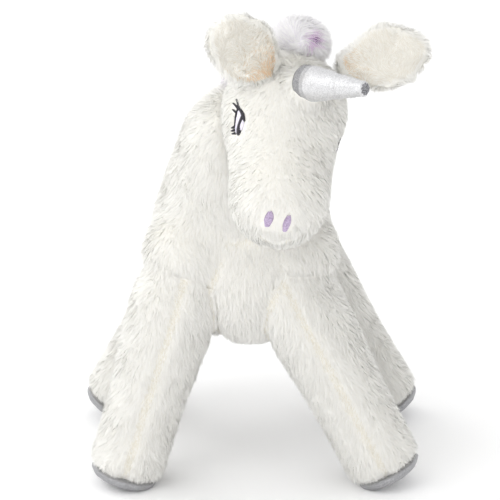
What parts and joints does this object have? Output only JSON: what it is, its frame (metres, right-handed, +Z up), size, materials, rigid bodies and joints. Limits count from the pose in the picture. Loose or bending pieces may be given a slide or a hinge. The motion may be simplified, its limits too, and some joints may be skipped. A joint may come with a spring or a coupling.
{
  "type": "plush unicorn",
  "caption": "Stuffed unicorn toy with splayed legs, turned head, soft horn, floppy ears, tufted mane and tail.",
  "frame": {"origin": "centre of the bounding box at floor level, under the toy", "axes": "+Z up, the nose points to -Y, +X is the right-hand side as seen from the front"},
  "size_m": [0.2248, 0.2396, 0.3186],
  "materials": {
    "white_plush": "long soft pile",
    "fibre_filling": "loose polyester fibre",
    "ear_lining": "short cream pile with a peach blush",
    "dark_thread": "satin stitched thread",
    "lilac_thread": "satin stitched thread",
    "pastel_mane_fur": "long soft pile, lilac at the roots",
    "silver_cloth": "metallic woven sheen",
    "grey_sole_cloth": "woven with a faint metallic sheen"
  },
  "bodies": {
    "torso": {"torso_stuffing": "fibre_filling", "left_side_panel": "white_plush", "right_side_panel": "white_plush", "chest_panel": "white_plush", "belly_panel": "white_plush"},
    "neck": {"neck_stuffing": "fibre_filling", "neck_left_panel": "white_plush", "neck_right_panel": "white_plush", "mane": "pastel_mane_fur"},
    "head": {"head_stuffing": "fibre_filling", "forehead_gusset": "white_plush", "chin_panel": "white_plush", "left_cheek_panel": "white_plush", "right_cheek_panel": "white_plush", "left_eye": "dark_thread", "right_eye": "dark_thread", "left_nostril": "lilac_thread", "right_nostril": "lilac_thread", "forelock": "pastel_mane_fur"},
    "horn": {"horn_sleeve": "silver_cloth", "horn_filling": "fibre_filling", "horn_tip_knot": "dark_thread"},
    "left_ear": {"left_ear_outer": "white_plush", "left_ear_lining": "ear_lining"},
    "right_ear": {"right_ear_outer": "white_plush", "right_ear_lining": "ear_lining"},
    "tail": {"tail_root": "white_plush", "tail_tuft": "pastel_mane_fur"},
    "front_left_leg": {"front_left_leg_stuffing": "fibre_filling", "front_left_leg_outer_panel": "white_plush", "front_left_leg_inner_panel": "white_plush", "front_left_sole": "grey_sole_cloth"},
    "front_right_leg": {"front_right_leg_stuffing": "fibre_filling", "front_right_leg_outer_panel": "white_plush", "front_right_leg_inner_panel": "white_plush", "front_right_sole": "grey_sole_cloth"},
    "back_left_leg": {"back_left_leg_stuffing": "fibre_filling", "back_left_leg_outer_panel": "white_plush", "back_left_leg_inner_panel": "white_plush", "back_left_sole": "grey_sole_cloth"},
    "back_right_leg": {"back_right_leg_stuffing": "fibre_filling", "back_right_leg_outer_panel": "white_plush", "back_right_leg_inner_panel": "white_plush", "back_right_sole": "grey_sole_cloth"}
  },
  "joints": [
    {"name": "front_left_leg_swing", "type": "hinge", "parent": "torso", "child": "front_left_leg", "pos_m": [-0.00114, -0.01481, 0.133], "axis": [1, 0, 0], "range_deg": [-20, 20], "stiffness_Nm_per_rad": 1},
    {"name": "front_right_leg_swing", "type": "hinge", "parent": "torso", "child": "front_right_leg", "pos_m": [-0.00114, -0.01481, 0.133], "axis": [1, 0, 0], "range_deg": [-20, 20], "stiffness_Nm_per_rad": 1},
    {"name": "back_left_leg_swing", "type": "hinge", "parent": "torso", "child": "back_left_leg", "pos_m": [-0.00114, 0.03319, 0.133], "axis": [1, 0, 0], "range_deg": [-20, 20], "stiffness_Nm_per_rad": 1},
    {"name": "back_right_leg_swing", "type": "hinge", "parent": "torso", "child": "back_right_leg", "pos_m": [-0.00114, 0.03319, 0.133], "axis": [1, 0, 0], "range_deg": [-20, 20], "stiffness_Nm_per_rad": 1},
    {"name": "neck_turn", "type": "hinge", "parent": "torso", "child": "neck", "pos_m": [-0.00495, -0.014, 0.18354], "axis": [0.068, -0.238, 0.9689], "range_deg": [-20, 20], "stiffness_Nm_per_rad": 0.8},
    {"name": "head_nod", "type": "hinge", "parent": "neck", "child": "head", "pos_m": [0.01986, -0.04581, 0.246], "axis": [0.9323, 0.197, -0.3032], "range_deg": [-18, 5], "stiffness_Nm_per_rad": 0.6},
    {"name": "horn_lean", "type": "hinge", "parent": "head", "child": "horn", "pos_m": [0.03405, -0.07381, 0.27145], "axis": [-0.582, -0.7223, -0.3736], "range_deg": [-4, 25], "stiffness_Nm_per_rad": 0.03},
    {"name": "left_ear_flop", "type": "hinge", "parent": "head", "child": "left_ear", "pos_m": [0.01047, -0.06291, 0.28195], "axis": [-0.5524, -0.2848, -0.7834], "range_deg": [-15, 15], "stiffness_Nm_per_rad": 0.02},
    {"name": "right_ear_flop", "type": "hinge", "parent": "head", "child": "right_ear", "pos_m": [0.05168, -0.03311, 0.26833], "axis": [-0.2265, 0.3457, 0.9106], "range_deg": [-15, 15], "stiffness_Nm_per_rad": 0.02},
    {"name": "tail_lift", "type": "hinge", "parent": "torso", "child": "tail", "pos_m": [-0.00114, 0.07135, 0.15685], "axis": [1, 0, 0], "range_deg": [0, 55], "stiffness_Nm_per_rad": 0.03}
  ]
}
